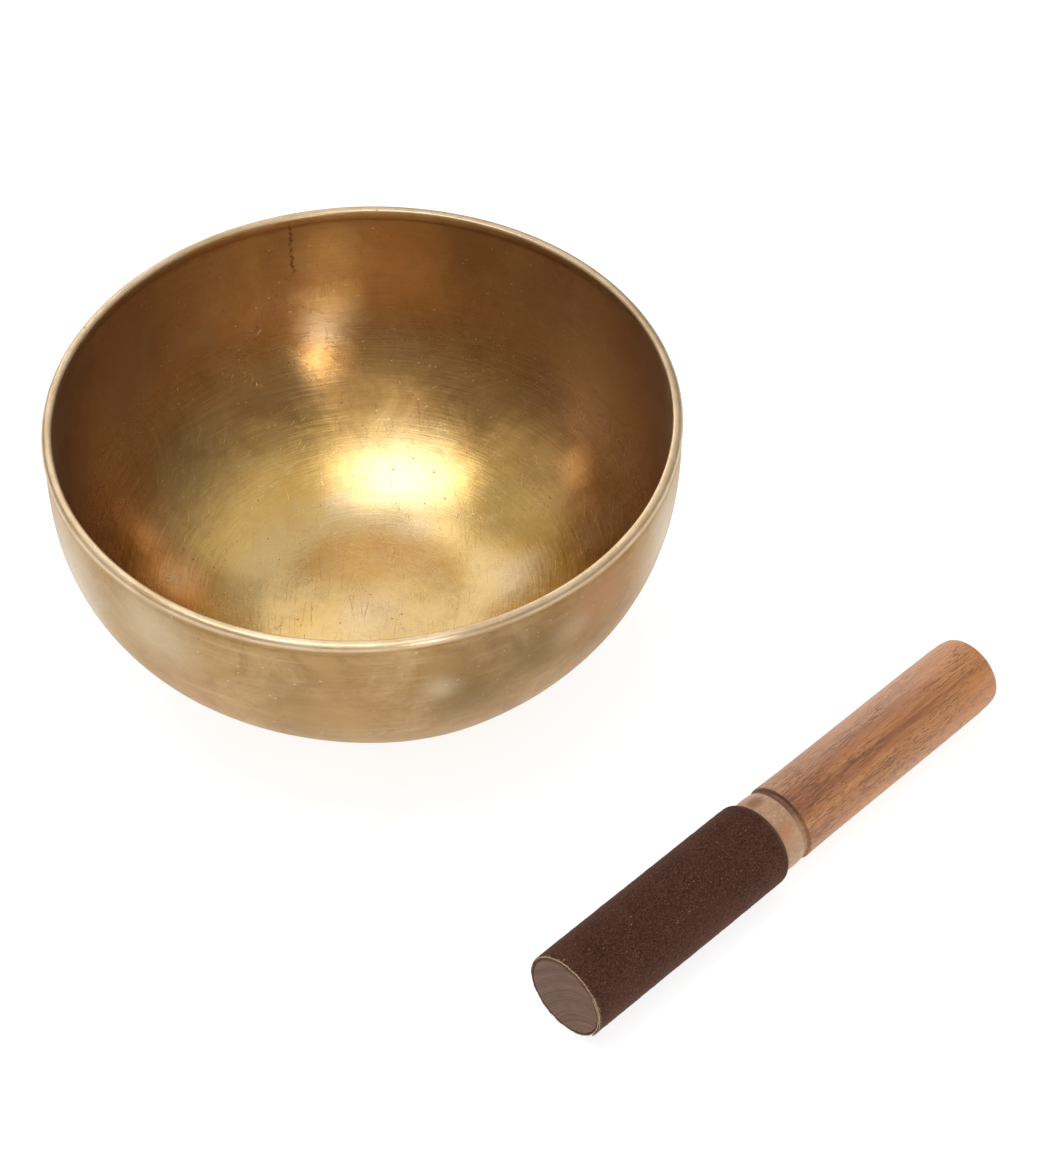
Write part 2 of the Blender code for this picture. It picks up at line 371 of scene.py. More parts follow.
def suede_drop(z):
    """How far the strip is drawn in at its rear edge, outside and inside."""
    a = np.clip((z - (SUEDE_STRAIGHT - 0.6)) / (SUEDE_END - SUEDE_STRAIGHT + 0.6), 0.0, 1.0)
    outer = (SUEDE_R - NECK_R - 1.15) * a ** 2.2
    b = np.clip((z - CORE_END) / (SUEDE_END - 0.3 - CORE_END), 0.0, 1.0)
    inner = (CORE_R - NECK_R) * b
    return outer, inner


def make_suede():
    """One skived strip rolled once round the head, its outer edge lapped over its inner one."""
    lap = LAP_TO - LAP_FROM
    n_round, n_long = 300, 150
    nap = Noise(41)
    u = np.linspace(0.0, 1.0, n_round)
    psi = LAP_FROM + (2.0 * math.pi + lap) * u
    r0 = CORE_R + 0.07
    first = (psi - LAP_FROM) / lap                       # through the inner ply of the lap
    last = (psi - LAP_FROM - 2.0 * math.pi) / lap        # through the outer ply
    rise = 0.14 + (SUEDE_T - 0.42) * np.clip(first, 0.0, 1.0) ** 0.9
    rise = rise + 0.28 * smooth((first - 1.02) / 0.18)
    under = 0.14 + (SUEDE_T - 0.42) * np.clip(last, 0.0, 1.0) ** 0.9
    gap = 0.05 + 0.22 * smooth((last - 0.45) / 0.3)
    face_in = np.where(last > -0.10, r0 + (under + gap) * smooth((last + 0.10) / 0.12), r0)
    face_out = np.where(first < 1.25, r0 + rise, r0 + SUEDE_T)
    face_out = np.where(last > -0.02, r0 + SUEDE_T + 0.06 * smooth(last / 0.5), face_out)
    # the outer edge is pressed down where it ends
    face_out = face_out - np.where(last > 0.93, 0.14 * smooth((last - 0.93) / 0.07), 0.0)
    loop_psi = np.concatenate([psi, psi[::-1]])
    loop_r = np.concatenate([face_out, face_in[::-1]])
    is_out = np.concatenate([np.ones(n_round), np.zeros(n_round)])
    m = len(loop_psi)
    z = np.concatenate([[0.0, 0.12, 0.3, 0.6], np.linspace(1.0, SUEDE_STRAIGHT - 0.8, n_long - 22),
                        np.linspace(SUEDE_STRAIGHT - 0.6, SUEDE_END - SUEDE_START, 18)]) + SUEDE_START
    z = np.minimum(z, SUEDE_END)
    z[-1] = SUEDE_END
    n = len(z)
    Z = np.repeat(z[:, None], m, 1)
    R = np.repeat(loop_r[None, :], n, 0)
    P = np.repeat(loop_psi[None, :], n, 0)
    O = np.repeat(is_out[None, :], n, 0)
    drop_out, drop_in = suede_drop(Z)
    ct, st = np.cos(P), np.sin(P)
    x, y = R * ct, R * st
    # soft swells and the nap, on the outer face only
    visible = O * ((P > LAP_TO - 0.02) | (first[-1] < 0)).astype(float)
    swell = 0.07 * nap(x / 7.0, y / 7.0, Z / 11.0) + 0.045 * nap(x / 1.7 + 5, y / 1.7, Z / 1.7) + 0.045 * nap(x / 0.75, y / 0.75 + 3, Z / 0.75)
    rim = smooth((Z - SUEDE_START) / 0.5) * 0.16 + smooth((SUEDE_END - Z) / 0.5) * 0.0
    R = R + visible * (swell - 0.10) - O * (0.16 - rim)
    # the drawn-in end: both faces come down, and the strip keeps some thickness
    outer_r = R - drop_out
    inner_r = R - drop_in
    R = np.where(O > 0, outer_r, inner_r)
    R = np.where(O > 0, np.maximum(R, CORE_R + 0.10 - drop_in + 0.12), R)
    R = np.minimum(R, SUEDE_R)
    # raw edges are not cut quite straight
    edge = 0.12 * nap(x / 2.2, y / 2.2, 0 * Z + 9.0) + 0.06 * nap(x / 0.6, y / 0.6, 0 * Z + 4.0)
    Z = Z + (edge + 0.02) * np.clip(1.0 - (Z - SUEDE_START) / 2.0, 0, 1) * np.clip((R - 12.7) / 0.6 + 0.2, 0, 1)
    Z = np.maximum(Z, 0.03)
    back = 0.35 * nap(x / 8.0, y / 8.0, 0 * Z + 19.0) + 0.10 * nap(x / 1.5, y / 1.5, 0 * Z + 24.0)
    Z = Z + (back - 0.25) * np.clip((Z - (SUEDE_END - 4.0)) / 4.0, 0, 1)
    verts = np.stack([R * ct, R * st, Z], 2).reshape(-1, 3)
    faces = grid_faces(n, m)
    # close the two raw edges, ply by ply
    for row, flip in ((0, False), (n - 1, True)):
        base = row * m
        for k in range(n_round - 1):
            q = (base + k, base + m - 1 - k, base + m - 2 - k, base + k + 1)
            faces.append(q[::-1] if flip else q)
    obj = mesh_object("suede_strip", verts * MM, faces)
    raw = np.clip(1.0 - (np.repeat(z[:, None], m, 1) - SUEDE_START - 0.0) / 0.34, 0, 1)
    raw[-1] = 0.5
    set_attribute(obj, "raw", raw.reshape(-1))
    return obj


def make_nap(place):
    """Short fibres of the suede's nap, and a few long loose ones by its raw edge."""
    rng = np.random.default_rng(77)
    lump = Noise(42)
    count = 17000
    psi = rng.uniform(0.0, 2.0 * math.pi, count)
    z = rng.uniform(SUEDE_START + 0.3, SUEDE_END - 0.9, count)
    length = rng.uniform(0.25, 0.62, count)
    lift = rng.uniform(0.10, 0.75, count)
    swing = rng.normal(0.6, 1.1, count)
    width = rng.uniform(0.055, 0.095, count)
    pale = (rng.random(count) < 0.17) * rng.uniform(0.30, 1.0, count) ** 1.3
    # longer fibres at the raw edge of the head
    extra = 170
    at = rng.uniform(math.radians(-40.0), math.radians(126.0), extra)
    at[:110] = rng.uniform(math.radians(48.0), math.radians(126.0), 110)
    psi = np.concatenate([psi, at])
    z = np.concatenate([z, rng.uniform(0.25, 0.7, extra)])
    length = np.concatenate([length, rng.uniform(0.6, 1.5, extra)])
    lift = np.concatenate([lift, rng.uniform(0.15, 0.8, extra)])
    swing = np.concatenate([swing, rng.uniform(-2.6, 2.6, extra)])
    width = np.concatenate([width, rng.uniform(0.07, 0.13, extra)])
    pale = np.concatenate([pale, rng.uniform(0.7, 1.0, extra)])
    # pale lint caught in the nap
    lint = 420
    psi = np.concatenate([psi, rng.uniform(0.0, 2.0 * math.pi, lint)])
    z = np.concatenate([z, rng.uniform(0.8, SUEDE_END - 2.0, lint)])
    length = np.concatenate([length, rng.uniform(0.35, 1.0, lint) ** 1.2])
    lift = np.concatenate([lift, rng.uniform(0.05, 0.45, lint)])
    swing = np.concatenate([swing, rng.uniform(-1.6, 1.6, lint)])
    width = np.concatenate([width, rng.uniform(0.09, 0.16, lint)])
    pale = np.concatenate([pale, rng.uniform(0.8, 1.6, lint)])
    # fibres that stand up and blur the outline
    stand = 900
    psi = np.concatenate([psi, rng.uniform(0.0, 2.0 * math.pi, stand)])
    z = np.concatenate([z, rng.uniform(0.8, SUEDE_END - 2.0, stand)])
    length = np.concatenate([length, rng.uniform(0.5, 1.05, stand)])
    lift = np.concatenate([lift, rng.uniform(0.7, 1.35, stand)])
    swing = np.concatenate([swing, rng.uniform(-1.2, 1.2, stand)])
    width = np.concatenate([width, rng.uniform(0.05, 0.08, stand)])
    pale = np.concatenate([pale, rng.uniform(0.0, 0.5, stand)])
    # one long hair lying near the rear edge
    psi = np.concatenate([psi, [math.radians(66.0)]])
    z = np.concatenate([z, [74.5]])
    length = np.concatenate([length, [4.6]])
    lift = np.concatenate([lift, [0.02]])
    swing = np.concatenate([swing, [-0.55]])
    width = np.concatenate([width, [0.10]])
    pale = np.concatenate([pale, [0.8]])
    radial = np.stack([np.cos(psi), np.sin(psi), 0 * psi], 1)
    round_ = np.stack([-np.sin(psi), np.cos(psi), 0 * psi], 1)
    axial = np.tile([0.0, 0.0, 1.0], (len(psi), 1))
    drop, _ = suede_drop(z)
    root = radial * (CORE_R + 0.07 + SUEDE_T - 0.16 - drop + 0.06 * lump(psi * 6.0, z / 3.0, 0 * z))[:, None] + axial * z[:, None]
    flat = axial * np.cos(swing)[:, None] + round_ * np.sin(swing)[:, None]
    way = flat * np.cos(lift)[:, None] + radial * np.sin(lift)[:, None]
    across = np.cross(way, radial)
    across /= np.linalg.norm(across, axis=1)[:, None]
    third = np.cross(way, across)
    w = width[:, None] * 0.5
    tip = root + way * length[:, None]
    tip -= radial * 0.25 * (length[:, None] ** 2) * (length[:, None] < 2) * 0.4
    reach = np.linalg.norm(tip[:, :2], axis=1)
    pull = np.minimum(1.0, (SUEDE_R + 0.30 + 0.45 * (lift > 0.8)) / reach)[:, None]
    tip = tip * np.concatenate([pull, pull, np.ones_like(pull)], 1)
    tip[:, 2] = np.maximum(tip[:, 2], 0.02)
    a = root + across * w
    b = root - across * w
    c = root + third * w * 1.2
    verts = np.stack([a, b, c, tip], 1).reshape(-1, 3)
    faces = []
    for k in range(len(psi)):
        i = 4 * k
        faces += [(i, i + 1, i + 3), (i + 1, i + 2, i + 3), (i + 2, i, i + 3), (i, i + 2, i + 1)]
    # keep above the table
    world = np.array(place)[:3, :3]
    height = (verts @ world.T)[:, 2] + place.translation.z * 1000.0
    low = (height.reshape(-1, 4).min(1) < 0.02)
    keep = ~low
    verts = verts.reshape(-1, 4, 3)[keep].reshape(-1, 3)
    faces = faces[: 4 * int(keep.sum())]
    obj = mesh_object("suede_nap", verts * MM, faces, shaded_smooth=False)
    set_attribute(obj, "pale", np.repeat(pale[keep], 4))
    return obj


# ---------------------------------------------------------------- materials
IN_FLOOR = ((0.655, 0.400, 0.112), (0.74, 0.490, 0.160), (0.75, 0.53, 0.225), (0.60, 0.370, 0.115))
IN_FOOT = (0.74, 0.535, 0.250)
IN_WALL = ((0.440, 0.240, 0.080), (0.370, 0.196, 0.064), (0.51, 0.300, 0.108))
IN_FLANK_GLOW = (0.63, 0.470, 0.320)
IN_UPPER = ((0.420, 0.275, 0.165), (0.345, 0.218, 0.130))
COPPER = (0.62, 0.335, 0.150)
PAINTED_GLOW_COPPER = (0.95, 0.570, 0.225)
PAINTED_GLOW_GOLD = (0.86, 0.650, 0.370)
ROSE_PALE = (0.76, 0.60, 0.42)
OUT = ((0.50, 0.315, 0.130), (0.42, 0.255, 0.100), (0.55, 0.370, 0.195), (0.34, 0.200, 0.080), (0.60, 0.430, 0.235))
LIP = ((0.69, 0.52, 0.335), (0.58, 0.41, 0.235), (0.44, 0.29, 0.150))
WOOD = ((0.330, 0.112, 0.036), (0.450, 0.168, 0.053), (0.550, 0.222, 0.070), (0.620, 0.280, 0.102),
        (0.340, 0.120, 0.045), (0.170, 0.054, 0.024), (0.680, 0.400, 0.220), (0.085, 0.030, 0.014))
SUEDE = ((0.044, 0.0136, 0.0078), (0.066, 0.0222, 0.0127), (0.085, 0.0320, 0.0198), (0.116, 0.0470, 0.0300),
         (0.026, 0.0086, 0.0052), (0.30, 0.185, 0.125))


class Net:
    """Short names for making nodes."""

    def __init__(self, name):
        self.mat = bpy.data.materials.new(name)
        self.mat.use_nodes = True
        self.tree = self.mat.node_tree
        self.shader = self.tree.nodes["Principled BSDF"]

    def put(self, socket, value):
        if hasattr(value, "is_output") or isinstance(value, bpy.types.NodeSocket):
            self.tree.links.new(value, socket)
        else:
            socket.default_value = value

    def node(self, kind, out=0, props=None, **inputs):
        n = self.tree.nodes.new(kind)
        for k, v in (props or {}).items():
            setattr(n, k, v)
        for k, v in inputs.items():
            key = int(k[1:]) if k[0] == "i" and k[1:].isdigit() else k.replace("_", " ")
            self.put(n.inputs[key], v)
        return n.outputs[out]

    def math(self, op, a, b=0.5, c=0.5, clamp=False):
        return self.node("ShaderNodeMath", props={"operation": op, "use_clamp": clamp}, i0=a, i1=b, i2=c)

    def vmath(self, op, a, b=(0, 0, 0), out=0):
        return self.node("ShaderNodeVectorMath", out=out, props={"operation": op}, i0=a, i1=b)

    def mapping(self, vector, scale=(1, 1, 1), rotation=(0, 0, 0), location=(0, 0, 0)):
        return self.node("ShaderNodeMapping", Vector=vector, Scale=scale, Rotation=rotation, Location=location)

    def noise(self, vector, scale, detail=3.0, rough=0.5, distortion=0.0, out=0, dims="3D"):
        return self.node("ShaderNodeTexNoise", out=out, props={"noise_dimensions": dims},
                         Vector=vector, Scale=scale, Detail=detail, Roughness=rough, Distortion=distortion)

    def voronoi(self, vector, scale, feature="F1", out="Distance", randomness=1.0):
        n = self.tree.nodes.new("ShaderNodeTexVoronoi")
        n.feature = feature
        self.put(n.inputs["Vector"], vector)
        n.inputs["Scale"].default_value = scale
        n.inputs["Randomness"].default_value = randomness
        return n.outputs[out]

    def ramp(self, value, stops, mode="LINEAR"):
        n = self.tree.nodes.new("ShaderNodeValToRGB")
        n.color_ramp.interpolation = mode
        while len(n.color_ramp.elements) < len(stops):
            n.color_ramp.elements.new(0.5)
        for e, (pos, col) in zip(n.color_ramp.elements, stops):
            e.position = pos
            e.color = (col, col, col, 1.0) if isinstance(col, (int, float)) else (*col, 1.0)
        self.put(n.inputs[0], value)
        return n.outputs[0]

    def span(self, value, low, high, to_low=0.0, to_high=1.0, smooth=True):
        n = self.tree.nodes.new("ShaderNodeMapRange")
        n.interpolation_type = "SMOOTHSTEP" if smooth else "LINEAR"
        n.clamp = True
        for key, v in (("Value", value), ("From Min", low), ("From Max", high), ("To Min", to_low), ("To Max", to_high)):
            self.put(n.inputs[key], v)
        return n.outputs[0]

    def mix(self, fac, a, b, blend="MIX"):
        n = self.tree.nodes.new("ShaderNodeMix")
        n.data_type = "RGBA"
        n.blend_type = blend
        n.clamp_factor = True
        self.put(n.inputs[0], fac)
        for s, v in ((n.inputs[6], a), (n.inputs[7], b)):
            self.put(s, (*v, 1.0) if isinstance(v, tuple) and len(v) == 3 else v)
        return n.outputs[2]

    def attr(self, name):
        n = self.tree.nodes.new("ShaderNodeAttribute")
        n.attribute_name = name
        return n.outputs["Fac"]

    def own(self):
        n = self.tree.nodes.new("ShaderNodeAttribute")
        n.attribute_name = "own"
        return n.outputs["Vector"]

    def bump(self, height, distance, strength=1.0, normal=None):
        n = self.tree.nodes.new("ShaderNodeBump")
        n.inputs["Strength"].default_value = strength
        n.inputs["Distance"].default_value = distance
        self.put(n.inputs["Height"], height)
        if normal is not None:
            self.put(n.inputs["Normal"], normal)
        return n.outputs[0]


def bronze_material():
    n = Net("bronze_beaten")
    co = n.node("ShaderNodeTexCoord", out=3)
    mm = n.vmath("SCALE", co); mm.node.inputs["Scale"].default_value = 1000.0
    sep = n.node("ShaderNodeSeparateXYZ", Vector=mm)
    x, y, z = sep, sep.node.outputs[1], sep.node.outputs[2]
    s = n.attr("along")
    outside = n.attr("outside")
    lip = n.attr("lip")

    def unit_of(vector):
        q = n.node("ShaderNodeSeparateXYZ", Vector=vector)
        u = n.vmath("NORMALIZE", n.node("ShaderNodeCombineXYZ", X=q, Y=q.node.outputs[1], Z=0.0))
        w = n.node("ShaderNodeSeparateXYZ", Vector=u)
        return w, w.node.outputs[1]

    ux, uy = unit_of(mm)

    def round_coords(k_round, k_along, at=None, axes=None):
        a, b = axes or (ux, uy)
        return n.node("ShaderNodeCombineXYZ", X=n.math("MULTIPLY", a, k_round), Y=n.math("MULTIPLY", b, k_round),
                      Z=n.math("MULTIPLY", s if at is None else at, k_along))

    def blob(centre, radius, wander=0.35, soft=0.9):
        """1 near a spot of the bowl, fading to 0 about radius away."""
        d = n.node("ShaderNodeVectorMath", out=1, props={"operation": "DISTANCE"}, i0=mm, i1=centre)
        d = n.math("ADD", d, n.math("MULTIPLY", n.math("SUBTRACT", p2, 0.5), radius * wander * 2.0))
        return n.span(d, radius * (1.0 - soft), radius, 1.0, 0.0)

    # patches of patina
    p1 = n.noise(mm, 0.022, 5.0, 0.62, 0.6)
    p2 = n.noise(n.vmath("ADD", mm, (37.0, 11.0, 5.0)), 0.045, 6.0, 0.65, 0.8)
    p3 = n.noise(n.vmath("ADD", mm, (7.0, 61.0, 15.0)), 0.13, 6.0, 0.65, 0.5)
    p4 = n.noise(n.vmath("ADD", mm, (17.0, 21.0, 55.0)), 0.07, 7.0, 0.72, 1.2)
    grain = n.noise(mm, 0.9, 5.0, 0.65)

    # lathe and scouring lines that run round the bowl, and a second set a little tilted
    fine = n.noise(round_coords(4.5, 2.9), 1.0, 3.0, 0.6)
    broad = n.noise(round_coords(2.0, 0.55), 1.0, 3.0, 0.6)
    hair = n.noise(round_coords(8.0, 6.5), 1.0, 2.0, 0.6)
    tilted = n.mapping(mm, rotation=(0.22, -0.10, 0.0), location=(6.0, -4.0, 0.0))
    t_sep = n.node("ShaderNodeSeparateXYZ", Vector=tilted)
    t_far = n.node("ShaderNodeVectorMath", out=1, props={"operation": "LENGTH"},
                   i0=n.node("ShaderNodeCombineXYZ", X=t_sep, Y=t_sep.node.outputs[1], Z=0.0))
    t_at = n.math("ADD", t_far, n.math("MULTIPLY", t_sep.node.outputs[2], -0.6))
    cross = n.noise(round_coords(5.5, 3.4, at=t_at, axes=unit_of(tilted)), 1.0, 3.0, 0.6)
    gate = n.span(n.noise(mm, 0.035, 2.0, 0.5), 0.40, 0.62)
    gate2 = n.span(n.noise(n.vmath("ADD", mm, (90.0, 0.0, 0.0)), 0.030, 2.0, 0.5), 0.45, 0.60)
    # where the lines show most: the turn from the wall into the floor of the bowl
    turn = n.math("MULTIPLY", n.span(z, 4.0, 14.0), n.span(z, 26.0, 48.0, 1.0, 0.0))

    def scratches(rotation, scale, threshold, sparse, offset):
        q = n.mapping(mm, rotation=rotation, scale=scale, location=offset)
        f = n.noise(q, 1.0, 1.5, 0.5)
        d = n.math("ABSOLUTE", n.math("SUBTRACT", f, 0.5))
        line = n.span(d, 0.0, threshold, 1.0, 0.0)
        return n.math("MULTIPLY", line, n.span(n.noise(n.vmath("ADD", mm, offset), 0.11, 2.0, 0.5), sparse, sparse + 0.05))

    scratch = n.math("MAXIMUM", scratches((0.3, 0.2, 0.6), (0.25, 0.018, 0.10), 0.0035, 0.52, (3.0, 9.0, 1.0)),
                     scratches((0.1, 0.5, -0.7), (0.21, 0.015, 0.08), 0.0030, 0.54, (13.0, 2.0, 7.0)))
    scratch = n.math("MAXIMUM", scratch, scratches((0.9, 0.1, 1.9), (0.23, 0.016, 0.09), 0.0030, 0.55, (23.0, 5.0, 4.0)))

    # ---- inside
    floor_gold = n.mix(n.span(p1, 0.36, 0.66), IN_FLOOR[0], IN_FLOOR[1])
    floor_gold = n.mix(n.span(p3, 0.46, 0.74, 0.0, 0.45), floor_gold, IN_FLOOR[2])
    floor_gold = n.mix(n.span(p4, 0.48, 0.74, 0.0, 0.35), floor_gold, IN_FLOOR[3])
    floor_gold = n.mix(n.math("MULTIPLY", n.span(z, 3.2, 9.0, 1.0, 0.0), n.span(p2, 0.34, 0.60, 0.35, 0.85)), floor_gold, IN_FOOT)
    wall_brown = n.mix(n.span(p2, 0.36, 0.66), IN_WALL[0], IN_WALL[1])
    wall_brown = n.mix(n.span(p4, 0.46, 0.74, 0.0, 0.35), wall_brown, IN_WALL[2])
    c_in = n.mix(n.span(n.math("ADD", z, n.math("MULTIPLY", n.math("SUBTRACT", p2, 0.5), 26.0)), 7.0, 30.0), floor_gold, wall_brown)
    upper = n.mix(n.span(p1, 0.4, 0.6), IN_UPPER[0], IN_UPPER[1])
    c_in = n.mix(n.span(n.math("ADD", z, n.math("MULTIPLY", n.math("SUBTRACT", p4, 0.5), 30.0)), 34.0, 66.0), c_in, upper)
    # copper blushes, then painted orange reflection glows low on the left and right of the wall, and a dark smudge or
    # two
    for centre, radius, amount in (((10.0, 94.0, 66.0), 24.0, 0.45), ((-62.0, 4.0, 14.0), 18.0, 0.6),
                                   ((-73.0, 18.0, 26.0), 18.0, 0.5), ((88.0, 30.0, 52.0), 20.0, 0.2), ((64.0, 34.0, 24.0), 20.0, 0.45)):
        c_in = n.mix(n.math("MULTIPLY", blob(centre, radius), amount), c_in, COPPER)
    for centre, radius, amount in (((65.0, 38.0, 26.0), 10.0, 0.85), ((-62.0, 3.0, 14.0), 15.0, 1.0), ((-70.0, 14.0, 21.0), 10.0, 0.7)):
        c_in = n.mix(n.math("MULTIPLY", blob(centre, radius), amount), c_in, PAINTED_GLOW_COPPER)
    for centre, radius, amount in (((-24.0, 76.0, 29.0), 15.0, 0.40), ((52.0, 62.0, 40.0), 16.0, 0.3), ((12.0, 80.0, 34.0), 12.0, 0.2),
                                   ((-62.0, 44.0, 24.0), 30.0, 0.5)):
        c_in = n.mix(n.math("MULTIPLY", blob(centre, radius, 0.35, 1.0), amount), c_in, (0.26, 0.165, 0.075))
    for centre, radius, amount in (((12.0, 32.0, 3.0), 9.0, 0.35), ((-11.0, 43.0, 5.5), 8.0, 0.4), ((-1.0, -4.0, 3.0), 16.0, 0.4), ((46.0, 8.0, 6.0), 15.0, 0.45)):
        c_in = n.mix(n.math("MULTIPLY", blob(centre, radius), amount), c_in, ROSE_PALE)
    # painted highlight: the floor is palest below the turn at the back, where the main highlight lies
    c_in = n.mix(n.math("MULTIPLY", blob((8.0, 50.0, 11.0), 30.0, 0.25, 1.0), 0.65), c_in, (0.76, 0.600, 0.375))
    # painted reflection: a paler spot on the right of the wall, and a bright glow low on the left
    c_in = n.mix(n.math("MULTIPLY", blob((75.0, 13.0, 25.0), 17.0, 0.3, 1.0), 0.65), c_in, (0.68, 0.48, 0.300))
    c_in = n.mix(n.math("MULTIPLY", blob((-63.0, 2.0, 14.0), 9.0, 0.3, 1.0), 0.65), c_in, (0.92, 0.69, 0.400))
    for centre, radius, amount in (((-79.0, 49.0, 57.0), 36.0, 0.45), ((61.0, 69.0, 57.0), 34.0, 0.38)):
        c_in = n.mix(n.math("MULTIPLY", blob(centre, radius, 0.3, 1.0), amount), c_in, (0.26, 0.190, 0.130))
    # painted reflection: a bright golden glow above the turn at the back
    for centre, radius, amount in (((-14.0, 90.0, 49.0), 17.0, 0.95), ((-12.0, 94.0, 70.0), 18.0, 0.50)):
        c_in = n.mix(n.math("MULTIPLY", blob(centre, radius, 0.3, 1.0), amount), c_in, PAINTED_GLOW_GOLD)
    # painted reflection: the flanks of the wall are a little brighter, the right one most
    painted_flank_glow = n.math("MAXIMUM", n.span(x, 50.0, 82.0, 0.0, 0.80), n.span(x, -94.0, -68.0, 0.62, 0.0))
    c_in = n.mix(n.math("MULTIPLY", painted_flank_glow, n.span(z, 22.0, 40.0)), c_in, IN_FLANK_GLOW)
    # a dark vein that runs down from the rim at the back
    vein_x = n.math("ADD", n.math("ADD", x, 24.8), n.math("MULTIPLY", n.math("SUBTRACT", n.noise(n.mapping(mm, scale=(0.0, 0.0, 0.22)), 1.0, 4.0, 0.7), 0.5), 5.0))
    vein = n.math("MULTIPLY", n.span(n.math("ABSOLUTE", vein_x), 0.15, 0.75, 1.0, 0.0), n.span(y, 60.0, 70.0))
    vein = n.math("MULTIPLY", vein, n.math("MULTIPLY", n.span(z, 62.0, 67.0), n.span(n.noise(mm, 0.45, 4.0, 0.7), 0.38, 0.52)))
    c_in = n.mix(n.math("MULTIPLY", vein, 0.75), c_in, (0.09, 0.045, 0.025))

    # ---- outside
    c_out = n.mix(n.span(p1, 0.34, 0.66), OUT[0], OUT[1])
    c_out = n.mix(n.span(p2, 0.48, 0.70, 0.0, 0.75), c_out, OUT[2])
    c_out = n.mix(n.span(p4, 0.46, 0.70, 0.0, 0.72), c_out, OUT[3])
    smear = n.noise(round_coords(3.0, 0.42), 1.0, 5.0, 0.68, 0.4)
    c_out = n.mix(n.span(smear, 0.50, 0.74, 0.0, 0.50), c_out, OUT[4])
    # painted reflection of the floor's shade: dark olive patches across the front of the wall, heaviest at the right
    for centre, radius, amount in (((50.0, -80.0, 66.0), 20.0, 0.65), ((66.0, -68.0, 62.0), 14.0, 0.45), ((34.0, -88.0, 50.0), 20.0, 0.55),
                                   ((-20.0, -92.0, 62.0), 18.0, 0.5), ((31.0, -90.0, 56.0), 20.0, 0.70), ((-18.0, -84.0, 40.0), 22.0, 0.45)):
        c_out = n.mix(n.math("MULTIPLY", blob(centre, radius, 0.35, 1.0), amount), c_out, (0.29, 0.175, 0.068))
    # copper-brown patches; the largest, at the front right under the lip, is a painted reflection
    for centre, radius, amount in (((70.0, -67.0, 74.0), 20.0, 0.75), ((-50.0, -82.0, 50.0), 24.0, 0.35), ((84.0, -46.0, 70.0), 16.0, 0.5), ((-6.0, -93.0, 60.0), 20.0, 0.35)):
        c_out = n.mix(n.math("MULTIPLY", blob(centre, radius), amount), c_out, (0.52, 0.285, 0.135))
    for centre, radius, amount in (((23.0, -92.0, 64.0), 9.0, 0.60), ((-62.0, -75.0, 72.0), 25.0, 0.70), ((62.0, -74.0, 68.0), 11.0, 0.35)):
        c_out = n.mix(n.math("MULTIPLY", blob(centre, radius, 0.35, 1.0), amount), c_out, (0.66, 0.53, 0.36))
    # painted reflection of the bright floor at grazing angles: the wall paler towards its left and right ends
    for centre, radius, amount in (((-88.0, -40.0, 62.0), 36.0, 0.85), ((92.0, -32.0, 68.0), 30.0, 0.80)):
        c_out = n.mix(n.math("MULTIPLY", blob(centre, radius, 0.35, 1.0), amount), c_out, (0.72, 0.62, 0.48))

    c_lip = n.mix(n.span(p2, 0.4, 0.7), LIP[0], LIP[1])
    c_lip = n.mix(n.span(n.noise(round_coords(14.0, 2.0), 1.0, 4.0, 0.7), 0.50, 0.68, 0.0, 0.6), c_lip, LIP[2])
    colour = n.mix(outside, c_in, c_out)
    # painted highlight and shade: the lip's colour is scaled up at the front and down at the back
    front = n.span(y, -75.0, 40.0, 1.16, 0.86)
    c_lip = n.vmath("SCALE", c_lip); n.put(c_lip.node.inputs["Scale"], front)
    colour = n.mix(lip, colour, c_lip)
    # lines and grain darken or lighten it a little
    a1 = n.math("MULTIPLY", n.math("SUBTRACT", fine, 0.5), n.math("ADD", 0.34, n.math("MULTIPLY", gate, 0.75)))
    a2 = n.math("MULTIPLY", n.math("SUBTRACT", cross, 0.5), n.math("MULTIPLY", gate2, 0.55))
    a3 = n.math("MULTIPLY", n.math("SUBTRACT", hair, 0.5), 0.30)
    line = n.math("ADD", a1, n.math("ADD", a2, a3))
    line = n.math("MULTIPLY", line, n.math("ADD", 0.32, n.math("MULTIPLY", turn, 0.80)))
    line = n.math("MULTIPLY", line, n.math("SUBTRACT", 1.0, n.math("MULTIPLY", outside, 0.45)))
    shade = n.math("ADD", 1.0, n.math("ADD", line, n.math("MULTIPLY", n.math("SUBTRACT", grain, 0.5), 0.18)))
    colour = n.vmath("SCALE", colour); n.put(colour.node.inputs["Scale"], shade)
    colour = n.mix(n.math("MULTIPLY", scratch, 0.10), colour, (0.80, 0.66, 0.42))
    # pits and nicks
    cell = n.voronoi(mm, 0.30, out="Distance")
    pick = n.node("ShaderNodeSeparateColor", Color=n.voronoi(mm, 0.30, out="Color"))
    ragged = n.math("ADD", cell, n.math("MULTIPLY", n.math("SUBTRACT", grain, 0.5), 0.10))
    pit = n.math("MULTIPLY", n.span(ragged, 0.05, 0.12, 1.0, 0.0), n.span(pick, 0.80, 0.82))
    colour = n.mix(n.math("MULTIPLY", pit, 0.30), colour, (0.13, 0.07, 0.035))
    q = n.mapping(mm, scale=(0.30, 0.85, 0.55), rotation=(0.0, 0.0, 0.5))
    chip = n.voronoi(q, 0.9, out="Distance")
    pick2 = n.node("ShaderNodeSeparateColor", Color=n.voronoi(q, 0.9, out="Color"))
    chip = n.math("MULTIPLY", n.span(chip, 0.10, 0.17, 1.0, 0.0), n.span(pick2.node.outputs[1], 0.86, 0.88))
    colour = n.mix(n.math("MULTIPLY", chip, 0.5), colour, (0.85, 0.72, 0.48))
